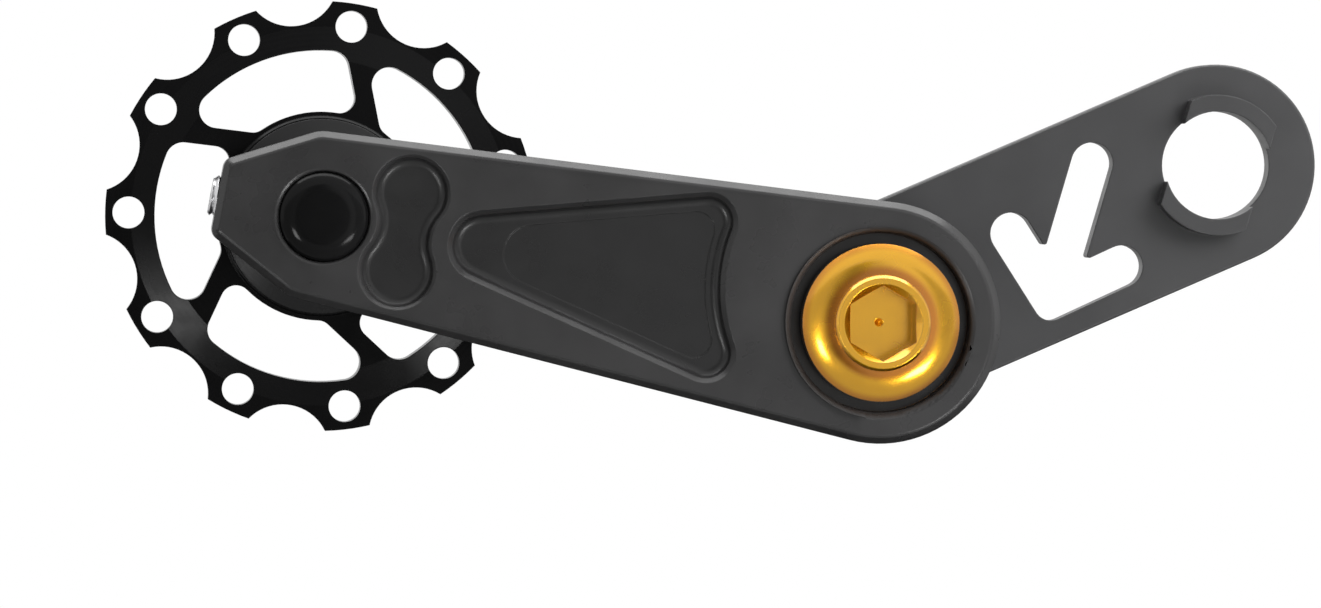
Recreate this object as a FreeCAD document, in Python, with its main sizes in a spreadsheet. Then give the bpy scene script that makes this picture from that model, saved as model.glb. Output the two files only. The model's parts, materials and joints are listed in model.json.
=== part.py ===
import FreeCAD, Part
import math
import os
import Sketcher
from FreeCAD import Placement, Rotation, Vector
from types import SimpleNamespace

# Sprung chain tensioner for a bicycle with horizontal dropouts, in millimetres.
# Origin at the axle bore, on the plate's outboard face. +Z up, outboard is -Y.

SIZES = [
    ("plate_thickness", 2.5, "hanger plate"),
    ("plate_half_width", 9.35, "also the radius of the plate's two ends"),
    ("plate_edge", 0.15, "broken edge of the plate's outline"),
    ("plate_slope", 23.2, "plate above the horizontal, degrees"),
    ("axle_bore_radius", 5.0, "bore for the wheel axle"),
    ("lug_radius", 6.5, "outside of the two lugs"),
    ("lug_width", 8.3, "across the lugs' flats, fits the dropout slot"),
    ("lug_height", 2.0, "lugs above the plate"),
    ("slot_slope", 73.6, "direction of the dropout slot and of the arrow, degrees"),
    ("arrow_tip_along", 20.53, "arrow's sharp tip, from the bore along the plate"),
    ("arrow_tip_drop", 7.36, "arrow's sharp tip below the plate's centre line"),
    ("arrow_length", 17.6, "tip to the round end of the stem"),
    ("arrow_stroke", 3.9, "width of the stem and of the barbs"),
    ("arrow_barb", 10.8, "outer edge of a barb from the sharp tip"),
    ("arrow_half_angle", 48.9, "barb to the arrow's axis, degrees"),
    ("arrow_tip_radius", 1.63, "rounding of the tip"),
    ("arrow_notch_radius", 0.25, "rounding between stem and barb"),
    ("pivot_reach", 35.44, "bore to pivot along the plate"),
    ("pivot_drop", 0.42, "pivot below the plate's centre line"),
    ("arm_reach", 51.55, "pivot to pulley axis"),
    ("arm_slope", 10.77, "arm above the horizontal, degrees"),
    ("arm_pivot_radius", 11.05, "round end of the arm"),
    ("arm_taper", 3.7, "each side of the arm to its axis, degrees"),
    ("arm_end_reach", 9.75, "pulley axis to the arm's end face"),
    ("arm_end_height", 6.9, "end face between its two corners"),
    ("arm_bend_reach", 1.8, "bend of the side, outside the pulley axis"),
    ("arm_bend_radius", 3.0, "rounding of that bend"),
    ("arm_corner_radius", 1.1, "rounding of the end face's corners"),
    ("arm_chamfer", 0.65, "front edge all round"),
    ("blade_thickness", 6.0, "arm beside the pulley"),
    ("boss_thickness", 10.0, "arm at the pivot"),
    ("ramp_start", 12.0, "pivot to the top of the slope behind the arm"),
    ("ramp_length", 5.0, "length of that slope along the arm"),
    ("bone_inset", 7.38, "pulley axis to the bone-shaped pocket"),
    ("bone_half_span", 3.56, "its lobes above and below the arm's axis"),
    ("bone_radius", 3.28, "its lobes"),
    ("bone_waist", 4.6, "width between the lobes"),
    ("bone_depth", 1.0, "depth of the bone-shaped pocket"),
    ("pocket_wall", 2.17, "bone's waist to the triangular pocket"),
    ("tri_lobe_rise", 0.1, "centre of the narrow end above the arm's axis"),
    ("tri_lobe_radius", 2.85, "narrow end of the triangular pocket"),
    ("tri_top_wall", 0.94, "upper edge to the arm's side, next to the pivot"),
    ("tri_bottom_wall", 1.96, "lower edge to the arm's side, next to the pivot"),
    ("tri_arc_radius", 14.6, "hollow side next to the pivot"),
    ("tri_arc_back", 0.6, "centre of that side, outside the pivot"),
    ("tri_arc_rise", 2.9, "centre of that side above the arm's axis"),
    ("tri_corner_radius", 2.3, "two wide corners"),
    ("tri_depth", 1.1, "depth of the triangular pocket"),
    ("pocket_fillet", 0.85, "floor of the pockets to their walls"),
    ("pocket_lip", 0.12, "broken edge round the pockets"),
    ("floor_step", 0.12, "last cut in the triangular pocket's floor"),
    ("floor_inset", 1.3, "that cut inside the pocket's outline"),
    ("floor_narrow_end", 4.6, "that cut short of the narrow end"),
    ("counterbore_radius", 8.2, "recess round the pivot bolt's head"),
    ("counterbore_depth", 2.35, "depth of that recess"),
    ("counterbore_lip", 0.35, "rounded edge of that recess"),
    ("web_thickness", 1.6, "arm between the bolt head and the spring"),
    ("cavity_radius", 7.2, "spring's recess behind the arm"),
    ("stop_radius", 9.0, "stop pin from the pivot"),
    ("stop_pin_radius", 1.0, "stop pin"),
    ("stop_slot_clearance", 0.1, "slot beside and behind the stop pin"),
    ("stop_slot_depth", 3.0, "depth of the slot in the arm"),
    ("stop_travel", 75.0, "swing of the arm, degrees"),
    ("thrust_ring_thickness", 0.5, "ring between the arm and the plate"),
    ("thrust_ring_inner", 7.6, "inside radius of that ring"),
    ("thrust_ring_outer", 10.4, "outside radius of that ring"),
    ("bolt_hub_radius", 4.36, "raised middle of the bolt's head"),
    ("bolt_hub_rise", 2.35, "middle of the head above the arm's face"),
    ("bolt_bell_rise", 1.35, "top of the bell above the arm's face"),
    ("bolt_rim_radius", 7.2, "rim of the bell"),
    ("bolt_bell_radius", 4.2, "curve of the bell, from the raised middle to the rim"),
    ("bolt_edge", 0.25, "broken edge of the raised middle"),
    ("bolt_shank_radius", 4.0, "shank in the bush"),
    ("bolt_thread_radius", 3.0, "thread in the plate and the nut"),
    ("bolt_tail", 0.6, "thread end behind the nut"),
    ("bolt_socket", 6.0, "hex socket across flats"),
    ("bolt_socket_depth", 4.0, "depth of that socket"),
    ("bolt_socket_lead", 0.12, "cone at the socket's mouth, beyond its corners"),
    ("bolt_pip_radius", 0.4, "drill's mark in the socket's floor"),
    ("bush_flange_radius", 6.6, "bush under the bolt's head"),
    ("bush_flange_thickness", 0.6, "thickness of that flange"),
    ("bush_radius", 5.0, "sleeve of the bush"),
    ("running_gap", 0.05, "radial clearance of a turning fit"),
    ("seat_gap", 0.02, "radial clearance of a fixed fit"),
    ("end_gap", 0.1, "axial clearance of a turning piece"),
    ("nut_across_flats", 10.0, "lock nut behind the plate"),
    ("nut_thickness", 3.2, "lock nut behind the plate"),
    ("nut_chamfer", 0.5, "corners of the lock nut"),
    ("wire_radius", 0.75, "torsion spring's wire"),
    ("spring_radius", 6.05, "torsion spring, to the wire's centre"),
    ("spring_turns", 2.75, "turns of the torsion spring"),
    ("spring_pitch", 1.65, "torsion spring along its axis per turn"),
    ("spring_start_gap", 0.1, "first turn behind the arm's web"),
    ("spring_leg_slope", 150.0, "spring's leg in the arm, degrees"),
    ("spring_hole_gap", 0.1, "leg in its hole"),
    ("leg_in_arm", 1.1, "leg's depth in the arm's web"),
    ("leg_in_plate", 2.0, "leg's depth in the plate"),
    ("pulley_teeth", 11, "teeth of the pulley"),
    ("pulley_tip_radius", 19.75, "turned outside of the teeth"),
    ("tooth_gap_outset", 2.18, "centre of a tooth gap beyond the tips"),
    ("tooth_gap_radius", 4.34, "round gap between two teeth"),
    ("tooth_slope", 15.3, "first tooth, degrees"),
    ("tooth_hole_radius", 1.46, "hole through each tooth"),
    ("tooth_hole_inset", 2.14, "centre of that hole inside the tips"),
    ("tooth_thickness", 2.2, "teeth between the chain's plates"),
    ("bevel_inset", 2.35, "bevel beside the teeth, inside the tips"),
    ("bevel_width", 3.0, "that bevel along the radius"),
    ("spoke_thickness", 4.0, "spokes"),
    ("spoke_count", 5, "spokes and windows"),
    ("spoke_width", 1.65, "narrowest width of a spoke"),
    ("spoke_sweep", 29.0, "spoke from radial, degrees"),
    ("spoke_slope", 0.0, "first spoke, degrees"),
    ("window_outer_inset", 4.52, "outside of the windows, inside the tips"),
    ("window_hub_gap", 0.38, "inside of the windows from the hub"),
    ("window_inner_corner", 1.41, "rounding of the inner corners"),
    ("window_outer_corner", 1.65, "rounding of the outer corners"),
    ("hub_wall", 1.7, "pulley's hub round the bearing"),
    ("hub_width", 5.6, "pulley's hub along the axis"),
    ("hub_edge", 0.2, "broken edge of the hub"),
    ("hub_lip_radius", 6.95, "lip behind the bearing"),
    ("bearing_bore", 3.0, "bearing's inside radius"),
    ("bearing_radius", 7.5, "bearing's outside radius"),
    ("bearing_width", 5.0, "bearing along the axis"),
    ("bearing_pitch", 5.25, "balls from the axis"),
    ("ring_land", 0.95, "each ring's land from the balls' circle"),
    ("ball_radius", 1.25, "ball"),
    ("ball_count", 7, "balls"),
    ("track_gap", 0.05, "ball in its track and in its cage"),
    ("cage_half_width", 0.45, "cage to each side of the balls' circle"),
    ("cage_back", 1.75, "cage in front of the balls' middle"),
    ("cage_front", 0.6, "cage's fingers behind the balls' middle"),
    ("shield_thickness", 0.3, "bearing shield"),
    ("shield_depth", 0.15, "shield below the bearing's face"),
    ("shield_gap", 0.15, "shield to the inner ring"),
    ("cover_inset", 0.3, "dust covers inside the hub's edge"),
    ("cover_thickness", 1.6, "dust covers"),
    ("cover_boss_radius", 4.1, "covers against the inner ring"),
    ("cover_gap", 0.3, "covers to the hub, and front cover to the arm"),
    ("cover_slope_width", 1.8, "sloping edge of the covers, along the radius"),
    ("cover_slope_depth", 0.8, "fall of that edge"),
    ("cover_dish", 0.5, "hollow behind each cover"),
    ("cover_rim", 1.0, "rim round that hollow"),
    ("axle_radius", 4.1, "pulley axle in the arm"),
    ("axle_cap_radius", 4.0, "domed end of the axle"),
    ("axle_cap_rise", 0.5, "domed end above the arm's face"),
    ("axle_cap_round", 1.45, "rounding of the domed end"),
    ("axle_cap_skirt", 0.2, "straight side behind the domed end"),
    ("axle_mouth", 0.2, "broken edge of the arm's bore"),
    ("axle_flat_depth", 0.08, "flat under the set screw"),
    ("axle_flat_width", 4.2, "that flat along the axle"),
    ("axle_short", 0.2, "axle's end below the rear cover's face"),
    ("axle_thread_depth", 9.0, "tapped hole in the axle's end"),
    ("washer_radius", 4.6, "washer under the end screw"),
    ("washer_thickness", 0.6, "washer under the end screw"),
    ("end_thread_radius", 2.0, "end screw"),
    ("end_screw_length", 8.0, "end screw under its head"),
    ("end_head_radius", 3.6, "end screw's head"),
    ("end_head_height", 2.2, "end screw's head"),
    ("end_head_round", 1.2, "rounding of that head"),
    ("end_socket", 2.5, "end screw's socket across flats"),
    ("end_socket_depth", 1.4, "depth of that socket"),
    ("set_screw_radius", 2.0, "set screw in the arm's end"),
    ("set_screw_stand_out", 0.65, "set screw beyond the end face"),
    ("set_screw_socket", 2.0, "set screw's socket across flats"),
    ("set_screw_socket_depth", 2.0, "depth of that socket"),
    ("set_screw_edge", 0.3, "broken edges of the set screw"),
]


class Size:
    """A length or angle that knows its number and the sheet formula behind it."""

    def __init__(self, number, text):
        self.number = number
        self.text = text

    def __float__(self):
        return float(self.number)

    def __add__(self, other):
        other = as_size(other)
        return Size(self.number + other.number, f"({self.text} + {other.text})")

    def __sub__(self, other):
        other = as_size(other)
        return Size(self.number - other.number, f"({self.text} - {other.text})")

    def __mul__(self, other):
        other = as_size(other)
        return Size(self.number * other.number, f"({self.text} * {other.text})")

    def __truediv__(self, other):
        other = as_size(other)
        return Size(self.number / other.number, f"({self.text} / {other.text})")

    def __neg__(self):
        return Size(-self.number, f"(0 - {self.text})")

    def __radd__(self, other):
        return as_size(other) + self

    def __rsub__(self, other):
        return as_size(other) - self

    def __rmul__(self, other):
        return as_size(other) * self


def as_size(value):
    if isinstance(value, Size):
        return value
    return Size(value, f"({value:.9f})")


def cosine(angle):
    return Size(math.cos(math.radians(angle.number)), f"cos({angle.text} * 1 deg)")


def sine(angle):
    return Size(math.sin(math.radians(angle.number)), f"sin({angle.text} * 1 deg)")


doc = FreeCAD.newDocument("chain_tensioner")
sheet = doc.addObject("Spreadsheet::Sheet", "Sizes")
for row, (alias, number, note) in enumerate(SIZES, start=1):
    sheet.set(f"A{row}", alias)
    sheet.set(f"B{row}", str(number))
    sheet.setAlias(f"B{row}", alias)
    sheet.set(f"C{row}", note)
doc.recompute()

s = SimpleNamespace(**{
    alias: Size(float(sheet.get(alias)), f"Sizes.{alias}") for alias, number, note in SIZES
})

# Levels along the pivot, measured from the plate's outboard face. Outboard is negative.
boss_back = -s.thrust_ring_thickness
arm_front = boss_back - s.boss_thickness
blade_back = arm_front + s.blade_thickness
counterbore_floor = arm_front + s.counterbore_depth
cavity_floor = counterbore_floor + s.web_thickness
axle_shoulder = blade_back + s.cover_gap
front_cover_back = axle_shoulder + s.cover_thickness
hub_front = front_cover_back + s.cover_gap
hub_back = hub_front + s.hub_width
pulley_middle = hub_front + s.hub_width / 2
bearing_back = hub_front + s.bearing_width
bearing_middle = hub_front + s.bearing_width / 2
rear_cover_front = hub_back + s.cover_gap
rear_cover_back = rear_cover_front + s.cover_thickness
washer_back = rear_cover_back + s.washer_thickness
nut_back = s.plate_thickness + s.nut_thickness

# Radii of the pulley and its covers.
hub_radius = s.bearing_radius + s.hub_wall
cover_radius = hub_radius - s.cover_inset
window_inner = hub_radius + s.window_hub_gap
window_outer = s.pulley_tip_radius - s.window_outer_inset
bevel_outer = s.pulley_tip_radius - s.bevel_inset
bevel_inner = bevel_outer - s.bevel_width
tooth_gap_circle = s.pulley_tip_radius + s.tooth_gap_outset
tooth_hole_circle = s.pulley_tip_radius - s.tooth_hole_inset

# Places of the two pockets along the arm, from the pivot.
bone_reach = s.arm_reach - s.bone_inset
tri_lobe_reach = bone_reach - s.bone_waist / 2 - s.pocket_wall - s.tri_lobe_radius

# Places of the two turning axes in the row frame.
pivot_x = s.pivot_drop * sine(s.plate_slope) - s.pivot_reach * cosine(s.plate_slope)
pivot_z = -s.pivot_reach * sine(s.plate_slope) - s.pivot_drop * cosine(s.plate_slope)
pulley_x = pivot_x - s.arm_reach * cosine(s.arm_slope)
pulley_z = pivot_z + s.arm_reach * sine(s.arm_slope)


# Helpers for the document's objects.

def bind(thing, property_name, size):
    size = as_size(size)
    thing.setExpression(property_name, size.text)


def new_body(label, x=0.0, z=0.0, slope=None, slope_sign=1):
    body = doc.addObject("PartDesign::Body", label)
    body.Label = label
    x = as_size(x)
    z = as_size(z)
    if slope is None:
        body.Placement = Placement(Vector(float(x), 0, float(z)), Rotation())
    else:
        turn = Rotation(Vector(0, slope_sign, 0), float(slope))
        body.Placement = Placement(Vector(float(x), 0, float(z)), turn)
        bind(body, "Placement.Rotation.Angle", slope)
    bind(body, "Placement.Base.x", x)
    bind(body, "Placement.Base.z", z)
    return body


def origin_part(body, role):
    return next(part for part in body.Origin.OriginFeatures if part.Role == role)


def new_sketch(body, role, name, height=None):
    """height lifts the sketch off its plane: towards -Y from XZ, +X from YZ."""
    sketch = body.newObject("Sketcher::SketchObject", name)
    sketch.AttachmentSupport = (origin_part(body, role), [""])
    sketch.MapMode = "FlatFace"
    if height is not None:
        sketch.AttachmentOffset = Placement(Vector(0, 0, float(height)), Rotation())
        bind(sketch, "AttachmentOffset.Base.z", height)
    return sketch


def fix_point(sketch, geometry, position, x, y):
    for value, kind, axis in ((x, "DistanceX", -2), (y, "DistanceY", -1)):
        value = as_size(value)
        if value.number == 0:
            sketch.addConstraint(Sketcher.Constraint("PointOnObject", geometry, position, axis))
        else:
            index = sketch.addConstraint(
                Sketcher.Constraint(kind, -1, 1, geometry, position, value.number))
            bind(sketch, f"Constraints[{index}]", value)


def polygon(sketch, points):
    """Closed outline of straight lines whose corners are bound to the sheet."""
    corners = [Vector(float(x), float(y), 0) for x, y in points]
    first = None
    for start, end in zip(corners, corners[1:] + corners[:1]):
        index = sketch.addGeometry(Part.LineSegment(start, end), False)
        first = index if first is None else first
    count = len(corners)
    for index in range(count):
        following = first + (index + 1) % count
        sketch.addConstraint(
            Sketcher.Constraint("Coincident", first + index, 2, following, 1))
    for index, (x, y) in enumerate(points):
        fix_point(sketch, first + index, 1, x, y)


def curved_polygon(sketch, points, bulges):
    corners = [Vector(float(x), float(y), 0) for x, y in points]
    for index, start in enumerate(corners):
        end = corners[(index + 1) % len(corners)]
        if index in bulges:
            middle = Vector(float(bulges[index][0]), float(bulges[index][1]), 0)
            sketch.addGeometry(Part.Arc(start, middle, end), False)
        else:
            sketch.addGeometry(Part.LineSegment(start, end), False)


def circle(sketch, x, y, radius):
    centre = Vector(float(as_size(x)), float(as_size(y)), 0)
    index = sketch.addGeometry(Part.Circle(centre, Vector(0, 0, 1), float(radius)), False)
    rule = sketch.addConstraint(Sketcher.Constraint("Radius", index, float(radius)))
    bind(sketch, f"Constraints[{rule}]", radius)
    fix_point(sketch, index, 3, x, y)


def hexagon(sketch, across_flats, start=0):
    corner = across_flats * (1 / math.sqrt(3))
    angles = [math.radians(start + 60 * turn) for turn in range(6)]
    polygon(sketch, [(corner * math.cos(a), corner * math.sin(a)) for a in angles])


def turned(body, points, name="turning", bulges=None):
    """Solid of revolution about Y. Each point is (radius, level along the axis).

    bulges gives, for a point's number, the middle of the arc that leads to the next point.
    """
    sketch = new_sketch(body, "XY_Plane", name + "_profile")
    if bulges:
        curved_polygon(sketch, points, bulges)
    else:
        polygon(sketch, points)
    feature = body.newObject("PartDesign::Revolution", name)
    feature.Profile = sketch
    feature.ReferenceAxis = (sketch, ["V_Axis"])
    feature.Angle = 360
    sketch.Visibility = False
    return feature


def pad(body, sketch, length, name):
    feature = body.newObject("PartDesign::Pad", name)
    feature.Profile = sketch
    feature.Length = float(length)
    bind(feature, "Length", length)
    return feature


def pocket(body, sketch, length, name, flipped=False):
    feature = body.newObject("PartDesign::Pocket", name)
    feature.Profile = sketch
    feature.Length = float(length)
    bind(feature, "Length", length)
    feature.Reversed = flipped
    return feature


def ring_pattern(body, feature, count, name):
    pattern = body.newObject("PartDesign::PolarPattern", name)
    pattern.Originals = [feature]
    pattern.Axis = (origin_part(body, "Y_Axis"), [""])
    pattern.Angle = 360
    pattern.Occurrences = int(float(count))
    bind(pattern, "Occurrences", count)
    body.Tip = pattern
    return pattern


def edges_at(feature, level, radius=None, skip=()):
    """Names of the feature's edges that lie flat at one level along Y."""
    names = []
    for number, edge in enumerate(feature.Shape.Edges, start=1):
        box = edge.BoundBox
        flat = abs(box.YMin - float(level)) < 1e-5 and abs(box.YMax - float(level)) < 1e-5
        if not flat:
            continue
        if radius is not None:
            if not hasattr(edge.Curve, "Radius") or abs(edge.Curve.Radius - float(radius)) > 1e-5:
                continue
        if any(edge.CenterOfMass.distanceToPoint(known) < 1e-4 for known in skip):
            continue
        names.append(f"Edge{number}")
    return names


def edge_centres(feature):
    return [edge.CenterOfMass for edge in feature.Shape.Edges]


def round_edges(body, base, names, radius, name):
    feature = body.newObject("PartDesign::Fillet", name)
    feature.Base = (base, names)
    feature.Radius = float(radius)
    bind(feature, "Radius", radius)
    doc.recompute()
    return feature


def break_edges(body, base, names, width, name):
    feature = body.newObject("PartDesign::Chamfer", name)
    feature.Base = (base, names)
    feature.Size = float(width)
    bind(feature, "Size", width)
    doc.recompute()
    return feature


# Outlines of straight lines and arcs, with a rounding at each corner.

def straight(x, y, slope):
    """Line through (x, y), walked in the direction of slope in degrees."""
    angle = math.radians(slope)
    return SimpleNamespace(kind="line", point=Vector(x, y, 0),
                           along=Vector(math.cos(angle), math.sin(angle), 0))


def round_side(x, y, radius, leftwards):
    """Circle walked anticlockwise when leftwards, so that its inside is kept."""
    return SimpleNamespace(kind="circle", centre=Vector(x, y, 0), radius=radius,
                           leftwards=leftwards)


def shifted(side, distance):
    """The side moved to its left, which is the outline's inside."""
    if side.kind == "line":
        left = Vector(-side.along.y, side.along.x, 0)
        return SimpleNamespace(kind="line", point=side.point + left * distance,
                               along=side.along)
    radius = side.radius - distance if side.leftwards else side.radius + distance
    return SimpleNamespace(kind="circle", centre=side.centre, radius=radius,
                           leftwards=side.leftwards)


def crossing(one, other, near):
    """Where two sides cross, nearest to a point."""
    if one.kind == "line" and other.kind == "line":
        determinant = one.along.x * other.along.y - one.along.y * other.along.x
        gap = other.point - one.point
        step = (gap.x * other.along.y - gap.y * other.along.x) / determinant
        return one.point + one.along * step
    if one.kind == "circle" and other.kind == "circle":
        gap = other.centre - one.centre
        span = gap.Length
        along = (one.radius ** 2 - other.radius ** 2 + span ** 2) / (2 * span)
        across = math.sqrt(one.radius ** 2 - along ** 2)
        unit = gap * (1 / span)
        foot = one.centre + unit * along
        side = Vector(-unit.y, unit.x, 0)
        found = [foot + side * across, foot - side * across]
    else:
        line, ring = (one, other) if one.kind == "line" else (other, one)
        foot = line.point + line.along * (ring.centre - line.point).dot(line.along)
        across = math.sqrt(ring.radius ** 2 - (foot - ring.centre).Length ** 2)
        found = [foot + line.along * across, foot - line.along * across]
    return min(found, key=lambda point: point.distanceToPoint(near))


def nearest_on(side, point):
    if side.kind == "line":
        return side.point + side.along * (point - side.point).dot(side.along)
    away = point - side.centre
    return side.centre + away * (side.radius / away.Length)


def arc_through(start, end, centre, leftwards):
    first = math.atan2(start.y - centre.y, start.x - centre.x)
    last = math.atan2(end.y - centre.y, end.x - centre.x)
    turn = (last - first) % (2 * math.pi)
    if not leftwards:
        turn -= 2 * math.pi
    middle = first + turn / 2
    radius = start.distanceToPoint(centre)
    half_way = centre + Vector(math.cos(middle), math.sin(middle), 0) * radius
    return Part.Arc(start, half_way, end)


def draw_outline(sketch, sides, corners):
    """sides run anticlockwise. corners[i] joins side i to the next: (x, y, radius).

    The radius is positive on an outward corner and negative on an inward one.
    """
    joints = []
    for index, (x, y, radius) in enumerate(corners):
        here = sides[index]
        following = sides[(index + 1) % len(sides)]
        near = Vector(x, y, 0)
        centre = crossing(shifted(here, radius), shifted(following, radius), near)
        joints.append((nearest_on(here, centre), nearest_on(following, centre), centre, radius))
    for index, side in enumerate(sides):
        start = joints[index - 1][1]
        end = joints[index][0]
        if start.distanceToPoint(end) > 1e-6:
            if side.kind == "line":
                sketch.addGeometry(Part.LineSegment(start, end), False)
            else:
                sketch.addGeometry(
                    arc_through(start, end, side.centre, side.leftwards), False)
        arc_start, arc_end, centre, radius = joints[index]
        sketch.addGeometry(arc_through(arc_start, arc_end, centre, radius > 0), False)


def draw_rounded(sketch, corners):
    """Straight-sided outline, anticlockwise. Each corner is (x, y, radius)."""
    sides = []
    for index, (x, y, radius) in enumerate(corners):
        last_x, last_y, last_radius = corners[index - 1]
        slope = math.degrees(math.atan2(y - last_y, x - last_x))
        sides.append(straight(x, y, slope))
    draw_outline(sketch, sides, corners)


def polar(radius, slope):
    angle = math.radians(slope)
    return radius * math.cos(angle), radius * math.sin(angle)


# Hanger plate with its lugs, arrow-shaped window and holes.

def arrow_corners():
    """Corners of the arrow from its tip, in the plate's own frame."""
    half = float(s.arrow_stroke) / 2
    width = float(s.arrow_stroke)
    length = float(s.arrow_length)
    barb = float(s.arrow_barb)
    lean = math.radians(float(s.arrow_half_angle))
    edge = Vector(math.cos(lean), -math.sin(lean), 0)
    inward = Vector(math.sin(lean), math.cos(lean), 0)
    outer = edge * barb
    inner = outer + inward * width
    notch = inner - edge * ((-half - inner.y) / math.sin(lean))
    right = [
        (outer.x, outer.y, half),
        (inner.x, inner.y, half),
        (notch.x, notch.y, -float(s.arrow_notch_radius)),
        (length, -half, half),
    ]
    left = [(x, -y, radius) for x, y, radius in reversed(right)]
    tip = (0.0, 0.0, float(s.arrow_tip_radius))
    turn = math.radians(float(s.slot_slope) - float(s.plate_slope))
    start_x = -float(s.arrow_tip_along)
    start_y = -float(s.arrow_tip_drop)
    return [
        (start_x + x * math.cos(turn) - y * math.sin(turn),
         start_y + x * math.sin(turn) + y * math.cos(turn), radius)
        for x, y, radius in [tip] + right + left
    ]


def draw_lug(sketch, slope):
    """One lug: outer arc, two flats along the slot, and the bore's arc inside."""
    half = float(s.lug_width) / 2
    outer = float(s.lug_radius)
    inner = float(s.axle_bore_radius)
    outer_turn = math.degrees(math.asin(half / outer))
    inner_turn = math.degrees(math.asin(half / inner))
    outer_start = Vector(*polar(outer, slope - outer_turn), 0)
    outer_end = Vector(*polar(outer, slope + outer_turn), 0)
    inner_start = Vector(*polar(inner, slope - inner_turn), 0)
    inner_end = Vector(*polar(inner, slope + inner_turn), 0)
    centre = Vector(0, 0, 0)
    sketch.addGeometry(arc_through(outer_start, outer_end, centre, True), False)
    sketch.addGeometry(Part.LineSegment(outer_end, inner_end), False)
    sketch.addGeometry(arc_through(inner_end, inner_start, centre, False), False)
    sketch.addGeometry(Part.LineSegment(inner_start, outer_start), False)


def make_hanger_plate():
    body = new_body("hanger_plate", slope=s.plate_slope, slope_sign=-1)
    half = float(s.plate_half_width)
    reach = float(s.pivot_reach)
    outline = new_sketch(body, "XZ_Plane", "plate_outline", -s.plate_thickness)
    draw_rounded(outline, [
        (half, -half, half), (half, half, half),
        (-reach - half, half, half), (-reach - half, -half, half),
    ])
    plate = pad(body, outline, s.plate_thickness, "plate")
    doc.recompute()
    rims = edges_at(plate, 0) + edges_at(plate, s.plate_thickness)
    break_edges(body, plate, rims, s.plate_edge, "plate_edges")
    lugs = new_sketch(body, "XZ_Plane", "lug_outline")
    slot_slope = float(s.slot_slope) - float(s.plate_slope)
    draw_lug(lugs, slot_slope)
    draw_lug(lugs, slot_slope + 180)
    pad(body, lugs, s.lug_height, "lugs")
    holes = new_sketch(body, "XZ_Plane", "hole_outline")
    circle(holes, 0, 0, s.axle_bore_radius)
    circle(holes, -s.pivot_reach, -s.pivot_drop, s.bolt_thread_radius + s.running_gap)
    circle(holes, s.stop_radius - s.pivot_reach, -s.pivot_drop, s.stop_pin_radius + s.seat_gap)
    leg_x, leg_y = plate_leg_place()
    circle(holes, leg_x, leg_y, s.wire_radius + s.spring_hole_gap)
    pocket(body, holes, s.plate_thickness, "holes")
    arrow = new_sketch(body, "XZ_Plane", "arrow_outline")
    draw_rounded(arrow, arrow_corners())
    pocket(body, arrow, s.plate_thickness, "arrow")
    return body


def plate_leg_place():
    """Spring's leg in the plate's frame. The last turn ends turns * 360 further on."""
    slope = s.spring_leg_slope + s.spring_turns * 360 - s.plate_slope
    x = s.spring_radius * cosine(slope) - s.pivot_reach
    y = s.spring_radius * sine(slope) - s.pivot_drop
    return x, y


def make_stop_pin():
    slope = s.plate_slope
    x = pivot_x + s.stop_radius * cosine(slope)
    z = pivot_z + s.stop_radius * sine(slope)
    body = new_body("stop_pin", x, z)
    front = boss_back - s.stop_slot_depth + s.end_gap * 2
    edge = s.stop_pin_radius * 0.2
    turned(body, [
        (0, front), (s.stop_pin_radius - edge, front), (s.stop_pin_radius, front + edge),
        (s.stop_pin_radius, s.plate_thickness), (0, s.plate_thickness),
    ])
    return body


def make_thrust_ring():
    body = new_body("thrust_ring", pivot_x, pivot_z, s.plate_slope, -1)
    turned(body, [
        (s.thrust_ring_inner, boss_back), (s.thrust_ring_outer, boss_back),
        (s.thrust_ring_outer, 0), (s.thrust_ring_inner, 0),
    ])
    hole = new_sketch(body, "XZ_Plane", "pin_hole_outline", s.thrust_ring_thickness)
    circle(hole, s.stop_radius, 0, s.stop_pin_radius + s.running_gap)
    pocket(body, hole, s.thrust_ring_thickness, "pin_hole")
    return body


# Arm, milled from one bar.

def arm_corners():
    """Arm's outline in its own frame: pivot at the origin, pulley axis on -X."""
    taper = math.radians(float(s.arm_taper))
    radius = float(s.arm_pivot_radius)
    reach = float(s.arm_reach)
    bend_x = -reach - float(s.arm_bend_reach)
    bend_y = radius / math.cos(taper) + bend_x * math.tan(taper)
    end_x = -reach - float(s.arm_end_reach)
    end_y = float(s.arm_end_height) / 2
    corner = float(s.arm_corner_radius)
    bend = float(s.arm_bend_radius)
    return bend_x, bend_y, end_x, end_y, corner, bend, taper, radius


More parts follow.
